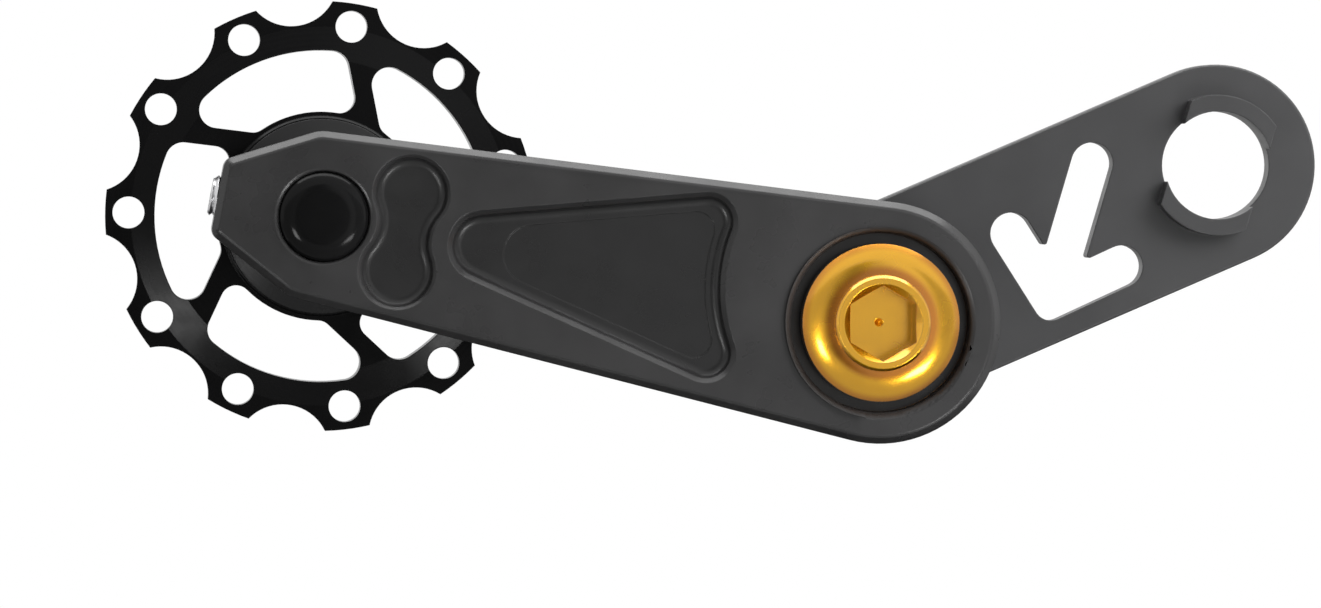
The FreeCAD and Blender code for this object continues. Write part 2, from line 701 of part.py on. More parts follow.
def draw_arm(sketch):
    bend_x, bend_y, end_x, end_y, corner, bend, taper, radius = arm_corners()
    slope = math.degrees(taper)
    lean = math.degrees(math.atan2(bend_y - end_y, bend_x - end_x))
    tangent = Vector(math.sin(taper) * -radius, math.cos(taper) * radius, 0)
    sides = [
        straight(bend_x, -bend_y, -slope),
        round_side(0, 0, radius, True),
        straight(bend_x, bend_y, 180 + slope),
        straight(end_x, end_y, 180 + lean),
        straight(end_x, 0, -90),
        straight(end_x, -end_y, -lean),
    ]
    joints = [
        (tangent.x, -tangent.y), (tangent.x, tangent.y),
        (bend_x, bend_y), (end_x, end_y), (end_x, -end_y), (bend_x, -bend_y),
    ]
    lower = Vector(tangent.x, -tangent.y, 0)
    sketch.addGeometry(arc_through(lower, tangent, Vector(0, 0, 0), True), False)
    radii = [None, None, bend, corner, corner, bend]
    rounded = []
    for index in range(2, 6):
        here = sides[index]
        following = sides[(index + 1) % 6]
        near = Vector(*joints[index], 0)
        centre = crossing(shifted(here, radii[index]), shifted(following, radii[index]), near)
        rounded.append((nearest_on(here, centre), nearest_on(following, centre), centre))
    start = tangent
    for arc_start, arc_end, centre in rounded:
        sketch.addGeometry(Part.LineSegment(start, arc_start), False)
        sketch.addGeometry(arc_through(arc_start, arc_end, centre, True), False)
        start = arc_end
    sketch.addGeometry(Part.LineSegment(start, lower), False)


def draw_bone(sketch):
    """Two round lobes joined by two hollow sides."""
    x = -float(bone_reach)
    span = float(s.bone_half_span)
    lobe = float(s.bone_radius)
    waist = float(s.bone_waist) / 2
    hollow = (waist ** 2 + span ** 2 - lobe ** 2) / (2 * (lobe - waist))
    sides = [round_side(x, span, lobe, True), round_side(x, -span, lobe, True)]
    corners = [(x - waist - hollow, 0, -hollow), (x + waist + hollow, 0, -hollow)]
    draw_outline(sketch, sides, corners)


def edge_slope(lobe_x, lobe_y, lobe, wall):
    """Slope of the line from round the lobe to a wall inside the arm's upper side."""
    taper = math.radians(float(s.arm_taper))
    wide_x = -float(s.tri_arc_radius)
    side_y = float(s.arm_pivot_radius) / math.cos(taper) + wide_x * math.tan(taper)
    reach = Vector(wide_x - lobe_x, side_y - wall - lobe_y, 0)
    return math.degrees(math.atan2(reach.y, reach.x) - math.asin(lobe / reach.Length))


def draw_triangle(sketch, inset=0.0, short=0.0):
    """Triangular pocket, or the same outline moved inwards by inset."""
    lobe_x = -float(tri_lobe_reach) + short
    lobe_y = float(s.tri_lobe_rise)
    lobe = float(s.tri_lobe_radius)
    full_x = -float(tri_lobe_reach)
    top = edge_slope(full_x, lobe_y, lobe, float(s.tri_top_wall))
    bottom = edge_slope(full_x, -lobe_y, lobe, float(s.tri_bottom_wall))
    top_x, top_y = polar(lobe - inset, 90 + top)
    bottom_x, bottom_y = polar(lobe - inset, -90 - bottom)
    corner = float(s.tri_corner_radius) - inset * 0.5
    sides = [
        straight(full_x + top_x, lobe_y + top_y, 180 + top),
        straight(full_x + bottom_x, lobe_y + bottom_y, -bottom),
        round_side(-float(s.tri_arc_back), float(s.tri_arc_rise),
                   float(s.tri_arc_radius) + inset, False),
    ]
    narrow = lobe - inset + short * (math.sin(math.radians(top + bottom) / 2))
    wide_x = -float(s.tri_arc_radius)
    corners = [
        (lobe_x, lobe_y, narrow),
        (wide_x, -float(s.arm_pivot_radius), corner),
        (wide_x, float(s.arm_pivot_radius), corner),
    ]
    draw_outline(sketch, sides, corners)


def sunk(body, draw, depth, name):
    """Pocket in the arm's front face with a rounded floor and a broken lip."""
    before = edge_centres(body.Tip)
    outline = new_sketch(body, "XZ_Plane", name + "_outline", -arm_front)
    draw(outline)
    cut = pocket(body, outline, depth, name)
    doc.recompute()
    lip = edges_at(cut, arm_front, skip=before)
    broken = break_edges(body, cut, lip, s.pocket_lip, name + "_lip")
    floor = edges_at(broken, arm_front + depth)
    return round_edges(body, broken, floor, s.pocket_fillet, name + "_floor")


def make_arm():
    body = new_body("arm", pivot_x, pivot_z, s.arm_slope)
    outline = new_sketch(body, "XZ_Plane", "arm_outline", -boss_back)
    draw_arm(outline)
    bar = pad(body, outline, s.boss_thickness, "bar")
    doc.recompute()
    break_edges(body, bar, edges_at(bar, arm_front), s.arm_chamfer, "front_chamfer")

    relief = new_sketch(body, "XY_Plane", "relief_profile")
    far = -s.arm_reach - s.arm_end_reach * 2
    behind = s.boss_thickness
    polygon(relief, [
        (far, blade_back), (-s.ramp_start - s.ramp_length, blade_back),
        (-s.ramp_start, boss_back), (-s.ramp_start, behind), (far, behind),
    ])
    cut = pocket(body, relief, s.arm_pivot_radius * 4, "relief")
    cut.Midplane = True

    front = new_sketch(body, "XZ_Plane", "counterbore_outline", -arm_front)
    circle(front, 0, 0, s.counterbore_radius)
    sunk_head = pocket(body, front, s.counterbore_depth, "counterbore")
    doc.recompute()
    lip = edges_at(sunk_head, arm_front, s.counterbore_radius)
    round_edges(body, sunk_head, lip, s.counterbore_lip, "counterbore_edge")

    bush_seat = new_sketch(body, "XZ_Plane", "bush_seat_outline", -arm_front)
    circle(bush_seat, 0, 0, s.bush_radius + s.seat_gap)
    pocket(body, bush_seat, s.boss_thickness, "bush_seat")
    back = new_sketch(body, "XZ_Plane", "cavity_outline", -boss_back)
    circle(back, 0, 0, s.cavity_radius)
    pocket(body, back, boss_back - cavity_floor, "cavity", flipped=True)
    leg = new_sketch(body, "XZ_Plane", "leg_hole_outline", -cavity_floor)
    leg_slope = s.spring_leg_slope + s.arm_slope
    circle(leg, s.spring_radius * cosine(leg_slope), s.spring_radius * sine(leg_slope),
           s.wire_radius + s.spring_hole_gap)
    pocket(body, leg, s.leg_in_arm + s.end_gap, "leg_hole", flipped=True)

    slot = new_sketch(body, "XZ_Plane", "stop_slot_outline", -boss_back)
    draw_stop_slot(slot)
    pocket(body, slot, s.stop_slot_depth, "stop_slot", flipped=True)

    axle = new_sketch(body, "XZ_Plane", "axle_bore_outline", -arm_front)
    circle(axle, -s.arm_reach, 0, s.axle_radius + s.seat_gap)
    bore = pocket(body, axle, s.boss_thickness, "axle_bore")
    doc.recompute()
    mouth = edges_at(bore, arm_front, s.axle_radius + s.seat_gap)
    break_edges(body, bore, mouth, s.axle_mouth, "axle_mouth")
    thread = new_sketch(body, "YZ_Plane", "set_screw_outline", -s.arm_reach)
    circle(thread, arm_front + s.blade_thickness / 2, 0, s.set_screw_radius)
    pocket(body, thread, s.arm_end_reach * 2, "set_screw_hole")

    sunk(body, draw_bone, s.bone_depth, "bone")
    sunk(body, draw_triangle, s.tri_depth, "triangle")
    floor = new_sketch(body, "XZ_Plane", "floor_outline", -arm_front - s.tri_depth)
    draw_triangle(floor, float(s.floor_inset), float(s.floor_narrow_end))
    pocket(body, floor, s.floor_step, "floor_cut")
    return body


def draw_stop_slot(sketch):
    """Arc slot in the arm: the pin rests on its upper end and travels clockwise."""
    radius = float(s.stop_radius)
    half = float(s.stop_pin_radius) + float(s.stop_slot_clearance)
    first = float(s.plate_slope) + float(s.arm_slope)
    last = first - float(s.stop_travel)
    centre = Vector(0, 0, 0)
    upper = Vector(*polar(radius, first), 0)
    lower = Vector(*polar(radius, last), 0)
    lower_in = Vector(*polar(radius - half, last), 0)
    lower_out = Vector(*polar(radius + half, last), 0)
    upper_out = Vector(*polar(radius + half, first), 0)
    upper_in = Vector(*polar(radius - half, first), 0)
    sketch.addGeometry(arc_through(lower_out, upper_out, centre, True), False)
    sketch.addGeometry(arc_through(upper_out, upper_in, upper, True), False)
    sketch.addGeometry(arc_through(upper_in, lower_in, centre, False), False)
    sketch.addGeometry(arc_through(lower_in, lower_out, lower, True), False)


# Pieces on the pivot.

def make_pivot_bolt():
    body = new_body("pivot_bolt", pivot_x, pivot_z)
    hub_face = arm_front - s.bolt_hub_rise
    bell_top = arm_front - s.bolt_bell_rise
    head_back = counterbore_floor - s.bush_flange_thickness - s.end_gap
    tail = nut_back + s.bolt_tail
    tail_edge = s.bolt_tail * 0.7
    hub = float(s.bolt_hub_radius)
    bell = float(s.bolt_bell_radius)
    steepest = math.asin((float(s.bolt_rim_radius) - hub) / bell)
    rim_level = float(bell_top) + bell * (1 - math.cos(steepest))
    half_way = (hub + bell * math.sin(steepest / 2),
                float(bell_top) + bell * (1 - math.cos(steepest / 2)))
    turned(body, [
        (0, hub_face), (s.bolt_hub_radius - s.bolt_edge, hub_face),
        (s.bolt_hub_radius, hub_face + s.bolt_edge), (s.bolt_hub_radius, bell_top),
        (s.bolt_rim_radius, rim_level), (s.bolt_rim_radius, head_back),
        (s.bolt_shank_radius, head_back), (s.bolt_shank_radius, 0),
        (s.bolt_thread_radius, 0), (s.bolt_thread_radius, tail - tail_edge),
        (s.bolt_thread_radius - tail_edge, tail), (0, tail),
    ], bulges={3: half_way})
    socket = new_sketch(body, "XZ_Plane", "socket_outline", -hub_face)
    hexagon(socket, s.bolt_socket, 90)
    pocket(body, socket, s.bolt_socket_depth, "socket")
    mouth = s.bolt_socket * (1 / math.sqrt(3)) + s.bolt_socket_lead
    floor = hub_face + s.bolt_socket_depth
    cone(body, mouth, hub_face, mouth, "socket_lead")
    cone(body, s.bolt_pip_radius, floor, s.bolt_pip_radius * 0.6, "pip")
    return body


def cone(body, radius, level, depth, name):
    """Conical hollow on the axis, from a level into the piece."""
    sketch = new_sketch(body, "XY_Plane", name + "_profile")
    polygon(sketch, [(0, level), (radius, level), (0, level + depth)])
    groove = body.newObject("PartDesign::Groove", name)
    groove.Profile = sketch
    groove.ReferenceAxis = (sketch, ["V_Axis"])
    groove.Angle = 360
    return groove


def make_pivot_bush():
    body = new_body("pivot_bush", pivot_x, pivot_z)
    top = counterbore_floor - s.bush_flange_thickness
    inside = s.bolt_shank_radius + s.running_gap
    turned(body, [
        (inside, top), (s.bush_flange_radius, top),
        (s.bush_flange_radius, counterbore_floor), (s.bush_radius, counterbore_floor),
        (s.bush_radius, -s.end_gap), (inside, -s.end_gap),
    ])
    return body


def make_pivot_lock_nut():
    body = new_body("pivot_lock_nut", pivot_x, pivot_z, s.plate_slope, -1)
    outline = new_sketch(body, "XZ_Plane", "nut_outline", -nut_back)
    hexagon(outline, s.nut_across_flats, 30)
    pad(body, outline, s.nut_thickness, "nut")
    corner = s.nut_across_flats * (1 / math.sqrt(3))
    rim = new_sketch(body, "XY_Plane", "corner_profile")
    beyond = corner + s.nut_chamfer
    polygon(rim, [
        (corner - s.nut_chamfer, nut_back), (beyond, nut_back - s.nut_chamfer),
        (beyond, nut_back + s.nut_chamfer), (corner - s.nut_chamfer, nut_back + s.nut_chamfer),
    ])
    groove = body.newObject("PartDesign::Groove", "corners")
    groove.Profile = rim
    groove.ReferenceAxis = (rim, ["V_Axis"])
    groove.Angle = 360
    bore = new_sketch(body, "XZ_Plane", "bore_outline")
    circle(bore, 0, 0, s.bolt_thread_radius + s.running_gap)
    pocket(body, bore, nut_back, "bore")
    return body


def make_torsion_spring():
    """Coil in the arm's recess, with one leg in the arm and one in the plate."""
    body = new_body("torsion_spring", pivot_x, pivot_z, s.spring_leg_slope, -1)
    first = cavity_floor + s.spring_start_gap + s.wire_radius
    last = first + s.spring_turns * s.spring_pitch
    wire = new_sketch(body, "XY_Plane", "wire_outline")
    circle(wire, s.spring_radius, first, s.wire_radius)
    coil = body.newObject("PartDesign::AdditiveHelix", "coil")
    coil.Profile = wire
    coil.ReferenceAxis = (wire, ["V_Axis"])
    coil.Mode = "pitch-turns-angle"
    bind(coil, "Pitch", s.spring_pitch)
    bind(coil, "Turns", s.spring_turns)
    coil.LeftHanded = True
    arm_leg = new_sketch(body, "XZ_Plane", "arm_leg_outline", -first)
    circle(arm_leg, s.spring_radius, 0, s.wire_radius)
    pad(body, arm_leg, first - cavity_floor + s.leg_in_arm, "arm_leg")
    plate_leg = new_sketch(body, "XZ_Plane", "plate_leg_outline", -s.leg_in_plate)
    turn = s.spring_turns * 360
    circle(plate_leg, s.spring_radius * cosine(turn), s.spring_radius * sine(turn),
           s.wire_radius)
    pad(body, plate_leg, s.leg_in_plate - last, "plate_leg")
    return body


# Pulley and its bearing.

def draw_window(sketch, index):
    """Window between two swept spokes: two arcs about the axis and two straight sides."""
    count = int(float(s.spoke_count))
    half = float(s.spoke_width) / 2
    middle = (float(window_inner) + float(window_outer)) / 2
    first = float(s.spoke_slope) + index * 360 / count
    last = first + 360 / count
    sweep = float(s.spoke_sweep)
    sides = []
    for slope, side in ((first, 1), (last, -1)):
        x, y = polar(middle, slope)
        shift_x, shift_y = polar(half, slope + sweep + 90 * side)
        sides.append((x + shift_x, y + shift_y, slope + sweep))
    start_side = straight(sides[0][0], sides[0][1], sides[0][2])
    end_side = straight(sides[1][0], sides[1][1], sides[1][2] + 180)
    outer = round_side(0, 0, float(window_outer), True)
    inner = round_side(0, 0, float(window_inner), False)
    outer_corner = float(s.window_outer_corner)
    inner_corner = float(s.window_inner_corner)
    lean = sweep / 3
    corners = [
        (*polar(outer.radius, first + lean), outer_corner),
        (*polar(outer.radius, last + lean), outer_corner),
        (*polar(inner.radius, last - lean), inner_corner),
        (*polar(inner.radius, first - lean), inner_corner),
    ]
    draw_outline(sketch, [start_side, outer, end_side, inner], corners)


def make_pulley_wheel():
    body = new_body("pulley_wheel", pulley_x, pulley_z)
    seat = s.bearing_radius + s.seat_gap
    tooth_front = pulley_middle - s.tooth_thickness / 2
    tooth_back = pulley_middle + s.tooth_thickness / 2
    spoke_front = pulley_middle - s.spoke_thickness / 2
    spoke_back = pulley_middle + s.spoke_thickness / 2
    turned(body, [
        (seat, hub_front), (hub_radius - s.hub_edge, hub_front),
        (hub_radius, hub_front + s.hub_edge), (hub_radius, spoke_front),
        (bevel_inner, spoke_front), (bevel_outer, tooth_front),
        (s.pulley_tip_radius, tooth_front), (s.pulley_tip_radius, tooth_back),
        (bevel_outer, tooth_back), (bevel_inner, spoke_back),
        (hub_radius, spoke_back), (hub_radius, hub_back - s.hub_edge),
        (hub_radius - s.hub_edge, hub_back), (s.hub_lip_radius, hub_back),
        (s.hub_lip_radius, bearing_back), (seat, bearing_back),
    ], "blank")
    step = 360 / float(s.pulley_teeth)
    gap = new_sketch(body, "XZ_Plane", "gap_outline", -tooth_front)
    gap_slope = s.tooth_slope + as_size(180) / s.pulley_teeth
    circle(gap, tooth_gap_circle * cosine(gap_slope),
           tooth_gap_circle * sine(gap_slope), s.tooth_gap_radius)
    gap_cut = pocket(body, gap, s.tooth_thickness, "gap")
    ring_pattern(body, gap_cut, s.pulley_teeth, "gaps")
    hole = new_sketch(body, "XZ_Plane", "tooth_hole_outline", -spoke_front)
    circle(hole, tooth_hole_circle * cosine(s.tooth_slope),
           tooth_hole_circle * sine(s.tooth_slope), s.tooth_hole_radius)
    hole_cut = pocket(body, hole, s.spoke_thickness, "tooth_hole")
    ring_pattern(body, hole_cut, s.pulley_teeth, "tooth_holes")
    window = new_sketch(body, "XZ_Plane", "window_outline", -spoke_front)
    draw_window(window, 0)
    window_cut = pocket(body, window, s.spoke_thickness, "window")
    ring_pattern(body, window_cut, s.spoke_count, "windows")
    return body


def make_bearing_ring(label, wall, land):
    """wall is the ring's seat and land its edge beside the balls."""
    body = new_body(label, pulley_x, pulley_z)
    turned(body, [
        (wall, hub_front), (land, hub_front), (land, bearing_back), (wall, bearing_back),
    ])
    track = new_sketch(body, "XY_Plane", "track_outline")
    circle(track, s.bearing_pitch, bearing_middle, s.ball_radius + s.track_gap)
    groove = body.newObject("PartDesign::Groove", "track")
    groove.Profile = track
    groove.ReferenceAxis = (track, ["V_Axis"])
    groove.Angle = 360
    return body


def make_bearing_balls():
    count = int(float(s.ball_count))
    balls = []
    for index in range(count):
        angle = Size(index * 360 / count, f"({index} * 360 / {s.ball_count.text})")
        x = pulley_x + s.bearing_pitch * cosine(angle)
        z = pulley_z + s.bearing_pitch * sine(angle)
        ball = doc.addObject("Part::Sphere", f"ball_{index + 1}")
        bind(ball, "Radius", s.ball_radius)
        ball.Placement = Placement(Vector(float(x), float(bearing_middle), float(z)), Rotation())
        bind(ball, "Placement.Base.x", x)
        bind(ball, "Placement.Base.y", bearing_middle)
        bind(ball, "Placement.Base.z", z)
        balls.append(ball)
    group = doc.addObject("Part::Compound", "bearing_balls")
    group.Label = "bearing_balls"
    group.Links = balls
    return group


def make_bearing_cage():
    """Crown cage: a ring in front of the balls with a finger between each two."""
    body = new_body("bearing_cage", pulley_x, pulley_z)
    inside = s.bearing_pitch - s.cage_half_width
    outside = s.bearing_pitch + s.cage_half_width
    front = bearing_middle - s.cage_back
    back = bearing_middle + s.cage_front
    turned(body, [(inside, front), (outside, front), (outside, back), (inside, back)])
    seat = new_sketch(body, "YZ_Plane", "ball_seat_outline", s.bearing_pitch + s.ball_radius)
    circle(seat, bearing_middle, 0, s.ball_radius + s.track_gap)
    seat_cut = pocket(body, seat, s.ball_radius * 2, "ball_seat")
    ring_pattern(body, seat_cut, s.ball_count, "ball_seats")
    return body


def make_bearing_shield(label, face, inward):
    """face is the bearing's face; inward is 1 at the front and -1 at the back."""
    body = new_body(label, pulley_x, pulley_z)
    inside = s.bearing_pitch - s.ring_land + s.shield_gap
    outside = s.bearing_pitch + s.ring_land - s.seat_gap
    near = face + s.shield_depth * inward
    far = near + s.shield_thickness * inward
    points = [(inside, near), (outside, near), (outside, far), (inside, far)]
    turned(body, points if inward > 0 else points[::-1])
    return body


# Pieces on the pulley axle.

def make_dust_cover(label, outer_face, inward, seat):
    """Cover with a sloping edge away from the pulley and a boss on the inner ring.

    inward points from the cover to the pulley and seat is the inner ring's face.
    """
    body = new_body(label, pulley_x, pulley_z)
    bore = s.bearing_bore + s.running_gap
    inner_face = outer_face + s.cover_thickness * inward
    dish = inner_face - s.cover_dish * inward
    rim = cover_radius - s.cover_rim
    points = [
        (bore, outer_face), (cover_radius - s.cover_slope_width, outer_face),
        (cover_radius, outer_face + s.cover_slope_depth * inward), (cover_radius, inner_face),
        (rim, inner_face), (rim, dish), (s.cover_boss_radius, dish),
        (s.cover_boss_radius, seat), (bore, seat),
    ]
    turned(body, points if inward > 0 else points[::-1])
    return body


def make_pulley_axle():
    body = new_body("pulley_axle", pulley_x, pulley_z, s.arm_slope)
    cap = arm_front - s.axle_cap_rise
    step = cap + s.axle_cap_round + s.axle_cap_skirt
    stub = s.bearing_bore - s.seat_gap
    end = rear_cover_back - s.axle_short
    thread = s.end_thread_radius + s.running_gap
    thread_end = end - s.axle_thread_depth
    rod = turned(body, [
        (0, cap), (s.axle_cap_radius, cap), (s.axle_cap_radius, step),
        (s.axle_radius, step), (s.axle_radius, axle_shoulder), (stub, axle_shoulder),
        (stub, end), (thread, end), (thread, thread_end), (0, thread_end - thread),
    ])
    doc.recompute()
    dome = edges_at(rod, cap, s.axle_cap_radius)
    round_edges(body, rod, dome, s.axle_cap_round, "dome")
    middle = arm_front + s.blade_thickness / 2
    flat = new_sketch(body, "XZ_Plane", "flat_outline", s.axle_flat_width / 2 - middle)
    floor = s.axle_flat_depth - s.axle_radius
    outside = -s.axle_radius * 1.5
    polygon(flat, [
        (outside, -s.axle_radius), (floor, -s.axle_radius),
        (floor, s.axle_radius), (outside, s.axle_radius),
    ])
    pocket(body, flat, s.axle_flat_width, "flat")
    return body


def make_axle_set_screw():
    """Grub screw along the arm, from its end face to the axle's flat."""
    body = new_body("axle_set_screw", pulley_x, pulley_z, s.arm_slope)
    tip = s.axle_radius - s.axle_flat_depth
    length = s.arm_end_reach + s.set_screw_stand_out - tip
    middle = arm_front + s.blade_thickness / 2
    outline = new_sketch(body, "YZ_Plane", "screw_outline", -s.arm_end_reach - s.set_screw_stand_out)
    circle(outline, middle, 0, s.set_screw_radius - s.running_gap)
    shaft = pad(body, outline, length, "shaft")
    doc.recompute()
    rings = [
        f"Edge{number}" for number, edge in enumerate(shaft.Shape.Edges, start=1)
        if edge.BoundBox.XLength < 1e-5
    ]
    break_edges(body, shaft, rings, s.set_screw_edge, "ends")
    socket = new_sketch(body, "YZ_Plane", "socket_outline",
                        s.set_screw_socket_depth - s.arm_end_reach - s.set_screw_stand_out)
    corner = s.set_screw_socket * (1 / math.sqrt(3))
    angles = [math.radians(60 * turn) for turn in range(6)]
    polygon(socket, [(middle + corner * math.cos(a), corner * math.sin(a)) for a in angles])
    pocket(body, socket, s.set_screw_socket_depth, "socket")
    return body


def make_axle_end_washer():
    body = new_body("axle_end_washer", pulley_x, pulley_z)
    inside = s.end_thread_radius + s.end_gap
    turned(body, [
        (inside, rear_cover_back), (s.washer_radius, rear_cover_back),
        (s.washer_radius, washer_back), (inside, washer_back),
    ])
    return body


def make_axle_end_screw():
    body = new_body("axle_end_screw", pulley_x, pulley_z)
    head_back = washer_back + s.end_head_height
    tip = washer_back - s.end_screw_length
    edge = s.end_thread_radius * 0.25
    screw = turned(body, [
        (0, tip), (s.end_thread_radius - edge, tip), (s.end_thread_radius, tip + edge),
        (s.end_thread_radius, washer_back), (s.end_head_radius, washer_back),
        (s.end_head_radius, head_back), (0, head_back),
    ])
    doc.recompute()
    crown = edges_at(screw, head_back, s.end_head_radius)
    round_edges(body, screw, crown, s.end_head_round, "crown")
    socket = new_sketch(body, "XZ_Plane", "socket_outline", -head_back)
    hexagon(socket, s.end_socket)
    pocket(body, socket, s.end_socket_depth, "socket", flipped=True)
    return body


nodes = [
    make_hanger_plate(),
    make_stop_pin(),
    make_thrust_ring(),
    make_arm(),
    make_pivot_bolt(),
    make_pivot_bush(),
    make_pivot_lock_nut(),
    make_torsion_spring(),
    make_pulley_wheel(),
    make_bearing_ring("bearing_outer_ring", s.bearing_radius, s.bearing_pitch + s.ring_land),
    make_bearing_ring("bearing_inner_ring", s.bearing_bore, s.bearing_pitch - s.ring_land),
    make_bearing_balls(),
    make_bearing_cage(),
    make_bearing_shield("bearing_front_shield", hub_front, 1),
    make_bearing_shield("bearing_rear_shield", bearing_back, -1),
    make_dust_cover("front_dust_cover", axle_shoulder, 1, hub_front),
    make_dust_cover("rear_dust_cover", rear_cover_back, -1, bearing_back),
    make_pulley_axle(),
    make_axle_set_screw(),
    make_axle_end_washer(),
    make_axle_end_screw(),
]
doc.recompute()

# Nothing is written unless every object and every solid is sound.
for thing in doc.Objects:
    if "Invalid" in thing.State or "Error" in thing.State:
        raise RuntimeError(f"{thing.Label} failed: {thing.State}")
for node in nodes:
    if node.Shape.isNull() or not node.Shape.isValid():
        raise RuntimeError(f"{node.Label} has no valid shape")
os.makedirs("parts", exist_ok=True)
for node in nodes:
    node.Shape.exportStep(f"parts/{node.Label}.step")
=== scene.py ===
import json
import math
import bpy
from mathutils import Matrix, Vector


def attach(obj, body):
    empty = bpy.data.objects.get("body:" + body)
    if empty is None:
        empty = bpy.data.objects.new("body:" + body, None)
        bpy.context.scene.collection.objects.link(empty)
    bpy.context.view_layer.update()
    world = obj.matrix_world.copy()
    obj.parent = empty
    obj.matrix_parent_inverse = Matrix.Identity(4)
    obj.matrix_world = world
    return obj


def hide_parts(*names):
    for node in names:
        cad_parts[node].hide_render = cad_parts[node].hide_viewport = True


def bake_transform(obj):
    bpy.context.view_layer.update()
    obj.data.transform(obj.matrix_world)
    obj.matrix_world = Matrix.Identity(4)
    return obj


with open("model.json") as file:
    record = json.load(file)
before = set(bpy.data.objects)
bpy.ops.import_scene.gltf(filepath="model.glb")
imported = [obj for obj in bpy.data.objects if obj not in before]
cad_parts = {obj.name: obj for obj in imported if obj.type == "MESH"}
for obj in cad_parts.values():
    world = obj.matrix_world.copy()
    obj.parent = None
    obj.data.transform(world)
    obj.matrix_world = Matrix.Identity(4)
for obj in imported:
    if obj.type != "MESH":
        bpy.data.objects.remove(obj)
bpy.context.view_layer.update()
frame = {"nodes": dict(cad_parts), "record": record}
scene = bpy.context.scene

# Lengths are in metres. X is right, Y away from the camera and Z up, as in the CAD.
MM = 0.001
JOINTS = {joint["name"]: joint for joint in frame["record"]["behaviour"]["joints"]}
PIVOT = Vector(JOINTS["arm_pivot"]["pos_m"])
PULLEY = Vector(JOINTS["pulley_spin"]["pos_m"])

# The arm slopes up from the pivot to the pulley, and ARM_OUT points that way along it.
# ARM_FRONT is the Y of its front face.
ARM_SLOPE = math.atan2(PULLEY.z - PIVOT.z, PIVOT.x - PULLEY.x)
ARM_OUT = Vector((-math.cos(ARM_SLOPE), 0, math.sin(ARM_SLOPE)))
ARM_FRONT = -10.5 * MM


# Materials.

class Nodes:
    """The node tree of a material or the world, with a short call for each kind of node."""

    def __init__(self, owner):
        owner.use_nodes = True
        self.tree = owner.node_tree

    def add(self, kind, inputs=None, **settings):
        node = self.tree.nodes.new(kind)
        for name, value in settings.items():
            setattr(node, name, value)
        for name, value in (inputs or {}).items():
            self.put(node.inputs[name], value)
        return node

    def put(self, socket, value):
        """Links another node's output to the socket, or sets its number or colour."""
        if isinstance(value, bpy.types.NodeSocket):
            self.tree.links.new(value, socket)
        else:
            socket.default_value = value

    def place(self, stretch=(1, 1, 1), turn=0.0, centre=(0, 0, 0)):
        """Coordinates that ride with the piece, from the centre, stretched, then turned about Y."""
        own = self.add("ShaderNodeTexCoord").outputs["Object"]
        shift = self.add("ShaderNodeVectorMath", {0: own, 1: centre}, operation="SUBTRACT")
        mapping = self.add("ShaderNodeMapping", {
            "Vector": shift.outputs[0], "Rotation": (0, turn, 0), "Scale": stretch},
            vector_type="POINT")
        return mapping.outputs[0]

    def parts(self, place):
        """The X, Y and Z of coordinates."""
        return self.add("ShaderNodeSeparateXYZ", {0: place}).outputs

    def noise(self, place, scale, detail, roughness):
        node = self.add("ShaderNodeTexNoise", {
            "Vector": place, "Scale": scale, "Detail": detail, "Roughness": roughness})
        return node.outputs["Fac"]

    def spread(self, value, given, wanted=(0.0, 1.0)):
        """A smooth step between the two wanted numbers as the value crosses the given range."""
        node = self.add("ShaderNodeMapRange", {
            "Value": value, "From Min": given[0], "From Max": given[1],
            "To Min": wanted[0], "To Max": wanted[1]}, interpolation_type="SMOOTHSTEP")
        return node.outputs["Result"]

    def calculate(self, operation, one, other=0.0):
        return self.add("ShaderNodeMath", {0: one, 1: other}, operation=operation).outputs[0]

    def mix(self, amount, one, other):
        """A blend of two colours, which a mix node takes at 6 and 7 and gives at 2."""
        node = self.add("ShaderNodeMix", data_type="RGBA")
        for index, value in ((0, amount), (6, one), (7, other)):
            self.put(node.inputs[index], value)
        return node.outputs[2]

    def bump(self, height, distance, normal, strength=1.0):
        node = self.add("ShaderNodeBump", {
            "Strength": strength, "Distance": distance, "Height": height, "Normal": normal})
        return node.outputs[0]


class Surface(Nodes):
    """A material, whose shader's inputs are given by name."""

    def __init__(self, name):
        self.material = bpy.data.materials.new(name)
        super().__init__(self.material)
        self.shader = self.tree.nodes["Principled BSDF"]

    def set(self, name, value):
        self.put(self.shader.inputs[name], value)


def rgb(colour):
    return (*colour, 1.0)


def shade(colour, factor):
    return rgb([min(1.0, part * factor) for part in colour])


COAT_ROUGHNESS = 0.12
GRAIN_DEPTH = 0.004 * MM

# A wave texture's rings are this far apart at a scale of 1.
WAVE_PERIOD = 0.314

# Milled strokes come from a noise that changes slowly along X and Y and fast along Z.
STROKE_STRETCH = (30, 30, 900)


def rubbed_edges(surface, place, soft, wear):
    """Up to wear where the softened normal leaves the flat one, in uneven patches."""
    flat = surface.add("ShaderNodeNewGeometry").outputs["Normal"]
    facing = surface.add("ShaderNodeVectorMath", {0: flat, 1: soft}, operation="DOT_PRODUCT")
    on_edge = surface.spread(facing.outputs["Value"], (0.90, 0.995), (1.0, 0.0))
    patches = surface.noise(place, scale=420.0, detail=4.0, roughness=0.65)
    patches = surface.spread(patches, (0.42, 0.7), (0.15, 1.0))
    return surface.calculate("MULTIPLY", surface.calculate("MULTIPLY", on_edge, patches), wear)


